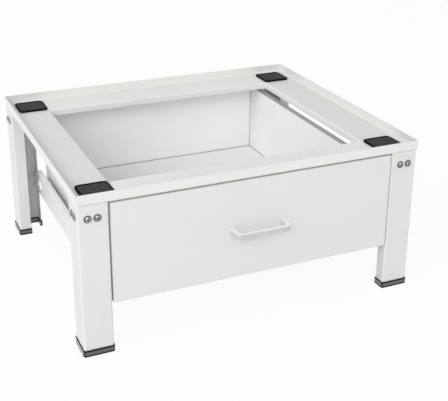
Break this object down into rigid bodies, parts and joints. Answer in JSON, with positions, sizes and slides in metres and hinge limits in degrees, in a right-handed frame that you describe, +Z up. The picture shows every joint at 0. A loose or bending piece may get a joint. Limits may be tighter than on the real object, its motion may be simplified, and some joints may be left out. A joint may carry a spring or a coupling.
{
  "type": "washer pedestal drawer",
  "caption": "Painted steel stand with a recessed tray and rubber pads that raises a washer, and a board drawer on roller slides between its legs.",
  "frame": {"origin": "bottom centre of the bounding box of the closed pedestal, on the floor", "axes": "+X to the right, +Y to the back away from the handle, +Z up"},
  "size_m": [0.6338, 0.5665, 0.29],
  "materials": {
    "frame_paint": "warm white powder coat, satin",
    "slide_paint": "white epoxy coat, satin",
    "drawer_board": "white melamine-faced board, matt",
    "cap_plastic": "dark grey moulded plastic",
    "pad_rubber": "near-black rubber, matt",
    "handle_plastic": "white plastic, semi-gloss",
    "roller_nylon": "white nylon",
    "zinc": "bright zinc plated",
    "dowel_wood": "plain beech"
  },
  "bodies": {
    "frame": {"front_rail": "frame_paint", "back_rail": "frame_paint", "left_rail": "frame_paint", "right_rail": "frame_paint", "leg_front_left": "frame_paint", "corner_bracket_front_left": "frame_paint", "foot_cap_front_left": "cap_plastic", "pad_front_left": "pad_rubber", "leg_front_right": "frame_paint", "corner_bracket_front_right": "frame_paint", "foot_cap_front_right": "cap_plastic", "pad_front_right": "pad_rubber", "leg_back_left": "frame_paint", "corner_bracket_back_left": "frame_paint", "foot_cap_back_left": "cap_plastic", "pad_back_left": "pad_rubber", "leg_back_right": "frame_paint", "corner_bracket_back_right": "frame_paint", "foot_cap_back_right": "cap_plastic", "pad_back_right": "pad_rubber", "leg_bolts": "zinc", "leg_washers": "zinc", "leg_nuts": "zinc", "rail_bolts": "zinc", "rail_nuts": "zinc", "side_rail_left": "frame_paint", "slide_channel_left": "slide_paint", "front_axle_left": "zinc", "side_rail_right": "frame_paint", "slide_channel_right": "slide_paint", "front_axle_right": "zinc", "slide_screws": "zinc", "slide_nuts": "zinc"},
    "drawer": {"drawer_slide_left": "slide_paint", "drawer_slide_right": "slide_paint", "rear_axle_left": "zinc", "rear_axle_right": "zinc", "drawer_side_left": "drawer_board", "drawer_side_right": "drawer_board", "drawer_front": "drawer_board", "drawer_back": "drawer_board", "drawer_bottom": "drawer_board", "drawer_slide_screws": "zinc", "dowels": "dowel_wood", "cam_bolts": "zinc", "cam_nuts": "zinc", "back_screws": "zinc", "handle": "handle_plastic", "handle_screws": "zinc"},
    "front_roller_left": {"front_roller_left": "roller_nylon"},
    "front_roller_right": {"front_roller_right": "roller_nylon"},
    "rear_roller_left": {"rear_roller_left": "roller_nylon"},
    "rear_roller_right": {"rear_roller_right": "roller_nylon"}
  },
  "joints": [
    {"name": "drawer_travel", "type": "slide", "parent": "frame", "child": "drawer", "axis": [0, -1, 0], "range_m": [0, 0.37]},
    {"name": "front_roller_left_spin", "type": "hinge", "parent": "frame", "child": "front_roller_left", "pos_m": [-0.2487, -0.22575, 0.0962], "axis": [1, 0, 0], "range_deg": [0, 2000]},
    {"name": "rear_roller_left_spin", "type": "hinge", "parent": "drawer", "child": "rear_roller_left", "pos_m": [-0.2487, 0.24625, 0.0942], "axis": [1, 0, 0], "range_deg": [0, 2000]},
    {"name": "front_roller_right_spin", "type": "hinge", "parent": "frame", "child": "front_roller_right", "pos_m": [0.2487, -0.22575, 0.0962], "axis": [1, 0, 0], "range_deg": [0, 2000]},
    {"name": "rear_roller_right_spin", "type": "hinge", "parent": "drawer", "child": "rear_roller_right", "pos_m": [0.2487, 0.24625, 0.0942], "axis": [1, 0, 0], "range_deg": [0, 2000]}
  ],
  "couplings": [
    {"joint": "front_roller_left_spin", "follows": "drawer_travel", "rad_per_m": 93.458},
    {"joint": "rear_roller_left_spin", "follows": "drawer_travel", "rad_per_m": 93.458},
    {"joint": "front_roller_right_spin", "follows": "drawer_travel", "rad_per_m": 93.458},
    {"joint": "rear_roller_right_spin", "follows": "drawer_travel", "rad_per_m": 93.458}
  ]
}
